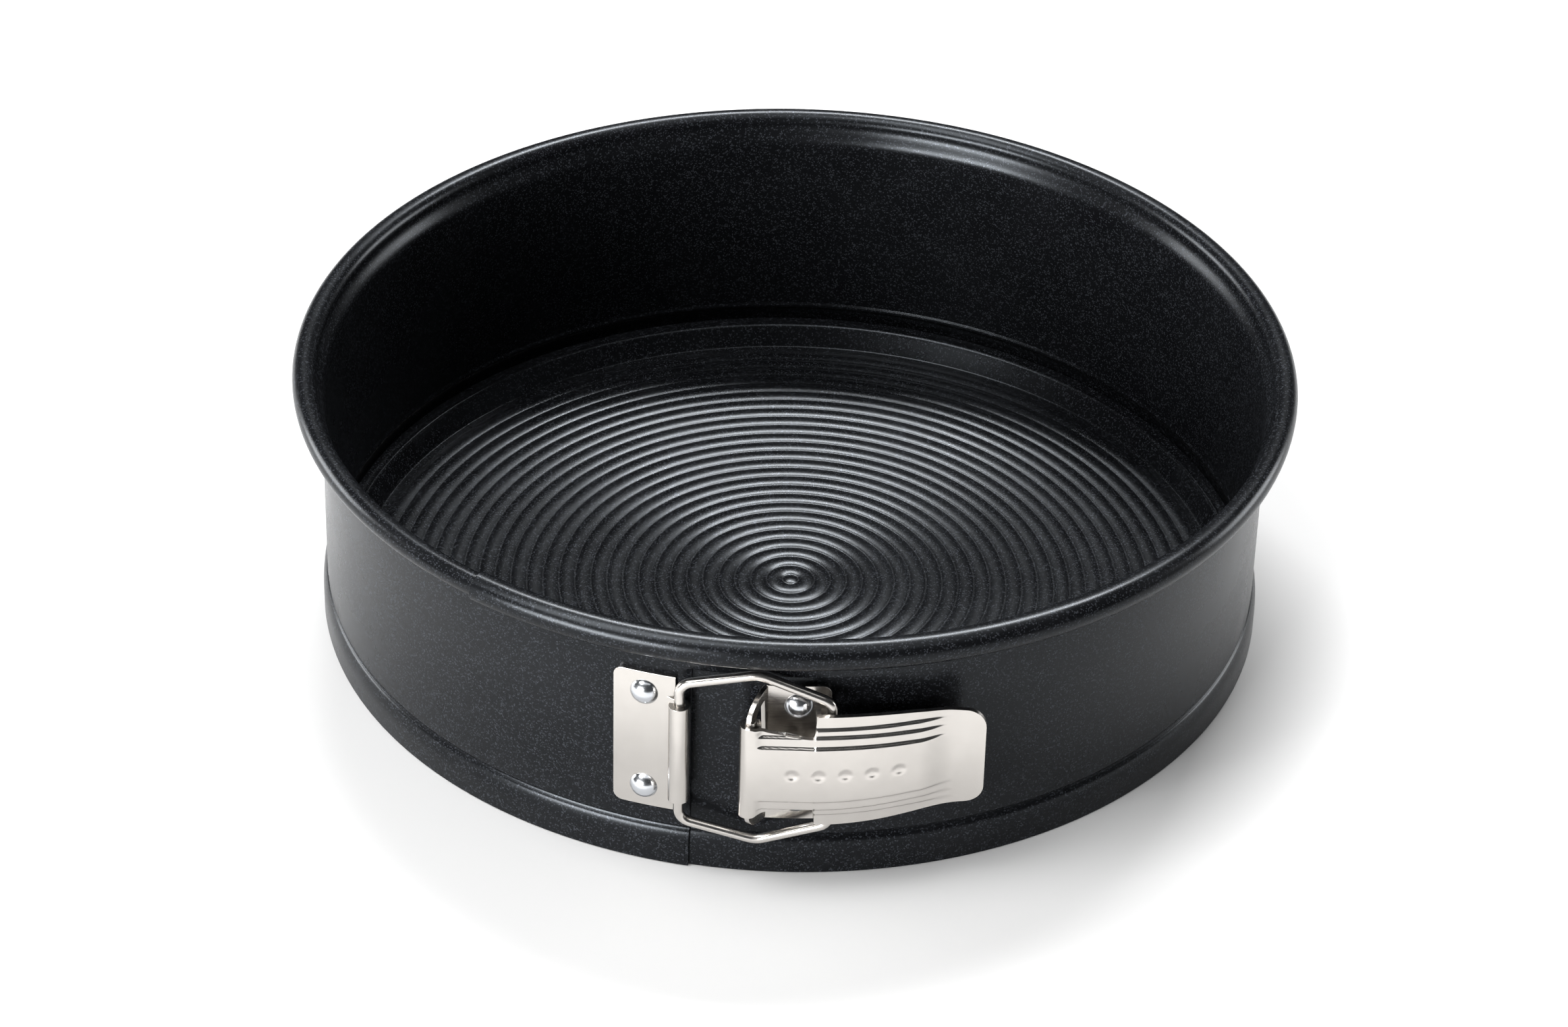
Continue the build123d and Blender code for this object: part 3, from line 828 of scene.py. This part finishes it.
def build_lever():
    """One sheet from the roll round the pin, over the embossed panel, to the tab, and two ears."""
    bm = bmesh.new()
    pivot = LEVER_PIVOT.xy
    roll = [Vector(p) for p in arc_points(pivot, BARREL_MID, -372, -90, 36)]
    fine, coarse = 0.11, 0.34  # spacing of the columns, finer where the sheet widens
    xs = [pivot.x]
    while xs[-1] < TAB_TIP_X - 1.5:
        x = xs[-1]
        xs.append(x + (fine if 5.9 < x < 7.5 else coarse))
    xs += [TAB_TIP_X - d for d in (1.1, 0.75, 0.45, 0.22, 0.08, 0.0)]
    panel = []
    for x in xs[1:]:
        border = spline(BORDER_KNOTS, max(x, SHOULDER_X - 4))
        raised = PANEL_RISE * (1 - smooth_step(x, FADE_START_X, FADE_END_X))
        panel.append(Vector((x, border - raised)))
    path = roll + panel
    back = normals_along(path)
    first = len(roll)
    run_out = 8  # rows over which the roll narrows to the tongue
    columns = 93
    half_sheet = LATCH_SHEET / 2

    def point(j, i):
        x = path[j].x
        if j < first:
            half = BARREL_LENGTH_LEVER / 2 - 0.1 * smooth_step(j, first - run_out, first)
        else:
            half = lever_half_height(x)
        z = (2 * i / (columns - 1) - 1) * half
        depth = lever_depth(x, z) + lever_dimple(x, z) if j >= first else 0.0
        made = []
        for side in (-half_sheet, half_sheet):
            at = path[j] + back[j] * (side + depth)
            made.append(Vector((at.x, at.y, LATCH_HEIGHT + z)))
        return made

    sheet_into(bm, len(path), columns, point)
    ear_front, ear_depth, ear_lean = BORDER_Y - 0.2, 3.4, 0.25
    ear_low, ear_high = 10.95, 15.2  # from the latch's middle
    shares = (0, 0.2, 0.4, 0.7, 0.9, 1)
    ear = [Vector((SHOULDER_X + ear_lean * (1 - t) ** 2, ear_front + ear_depth * t)) for t in shares]
    for way in (1, -1):
        ends = sorted((LATCH_HEIGHT + way * ear_low, LATCH_HEIGHT + way * ear_high))
        standing_sheet_into(bm, ear, LATCH_SHEET * 0.92, *ends)
    finish_piece("thumb_lever", bm, NICKEL, 0.18, "lever", "latch_lever")


def build_bail():
    """The wire loop: one leg in the left barrel, two bent runs and the far leg behind the lever."""
    start = BAIL_PIVOT.xy
    far_x, lever_gap = 10.3, 0.78
    far = Vector((far_x, BORDER_Y + (LATCH_SHEET + 2 * WIRE_RADIUS) / 2 + lever_gap))
    span = (far - start).length
    half = PLATE_HEIGHT / 2
    left, apex, right = half + 0.25, half + 4.55, half - 1.65
    middle = 0.52 * span
    upper = [(0, left), (middle, apex), (span, right)]
    lower = [(along, -level) for along, level in reversed(upper)]
    end_bend, apex_bend = 3.4, 6.5
    bends = (end_bend, apex_bend, end_bend) * 2
    flat = rounded_path([(0, 0), *upper, *lower, (0, 0)], bends, 1.6, 10)[:-1]
    way = (far - start) / span
    path = [Vector((start.x + way.x * p.x, start.y + way.y * p.x, LATCH_HEIGHT + p.y)) for p in flat]
    bm = bmesh.new()
    tube_into(bm, path, WIRE_RADIUS)
    finish_piece("bent_wire_bail", bm, NICKEL, 0.0, "bail", "wire_bail")


# ---------------------------------------------------------------- lights
def add_area(name, place, aim, size, energy):
    """A white rectangular light at place, turned towards aim. Metres and watts."""
    data = bpy.data.lights.new(name, "AREA")
    data.shape = "RECTANGLE"
    data.size, data.size_y = size
    data.energy = energy
    light = bpy.data.objects.new(name, data)
    bpy.context.scene.collection.objects.link(light)
    turn = (Vector(aim) - Vector(place)).to_track_quat("-Z", "Y")
    light.matrix_world = Matrix.Translation(place) @ turn.to_matrix().to_4x4()


def add_studio():
    """A pale floor in a soft studio: four boxes and a strip at each side."""
    mesh = bpy.data.meshes.new("floor")
    reach = 3.0
    corners = [(-reach, -reach, 0), (reach, -reach, 0), (reach, reach, 0), (-reach, reach, 0)]
    mesh.from_pydata(corners, [], [(0, 1, 2, 3)])
    floor = bpy.data.objects.new("floor", mesh)
    bpy.context.scene.collection.objects.link(floor)
    floor.location.z = -0.0002  # just under the pan, so that the two don't share a plane
    material, tree, shader = new_material("floor_paint")
    grain = node(tree, "ShaderNodeTexNoise", {"Scale": 30.0, "Detail": 3.0})
    tone = ramp(tree, [(0.3, (0.48, 0.48, 0.48)), (0.7, (0.50, 0.50, 0.50))])
    tree.links.new(grain.outputs["Fac"], tone.inputs["Fac"])
    tree.links.new(tone.outputs["Color"], shader.inputs["Base Color"])
    shader.inputs["Roughness"].default_value = 0.9
    mesh.materials.append(material)

    world = bpy.data.worlds.new("studio")
    bpy.context.scene.world = world
    world.use_nodes = True
    background = world.node_tree.nodes["Background"]
    background.inputs["Color"].default_value = (0.9, 0.95, 1, 1)
    background.inputs["Strength"].default_value = 0.05

    add_area("overhead_box", (0.0, -0.3, 1.3), (0, 0, 0), (1.3, 1.3), 6)
    add_area("upper_left_box", (-0.50, -0.32, 1.15), (0, 0, 0), (0.5, 0.9), 16)
    add_area("front_left_box", (-0.78, -0.98, 0.26), (0, 0, 0.04), (0.7, 0.34), 32)
    add_area("back_box", (0.08, 0.75, 1.3), (0, 0, 0), (0.9, 0.22), 42)
    add_area("left_strip", (-1.3, 0.5, 0.3), (0, 0, 0.03), (0.6, 0.5), 14)
    add_area("right_strip", (1.3, 0.5, 0.3), (0, 0, 0.03), (0.6, 0.5), 10)
    bpy.context.scene.view_settings.view_transform = "Standard"


add_camera()
add_studio()
build_band()
build_base()
left_rivet_angle = LEFT_PLATE_START + degrees(PLATE_WIDTH / WALL_OUTER) / 2
right_rivet_angle = RIGHT_PLATE_START + degrees(PLATE_WIDTH / (WALL_OUTER - RIGHT_INSET)) / 2
for side, level in ((1, "upper"), (-1, "lower")):
    height = LATCH_HEIGHT + side * RIVET_SPACING / 2
    build_rivet(f"left_rivet_{level}", left_rivet_angle, height, 0.0)
    build_rivet(f"right_rivet_{level}", right_rivet_angle, height, RIGHT_INSET)

build_left_bracket()
build_right_bracket()
build_lever()
build_bail()
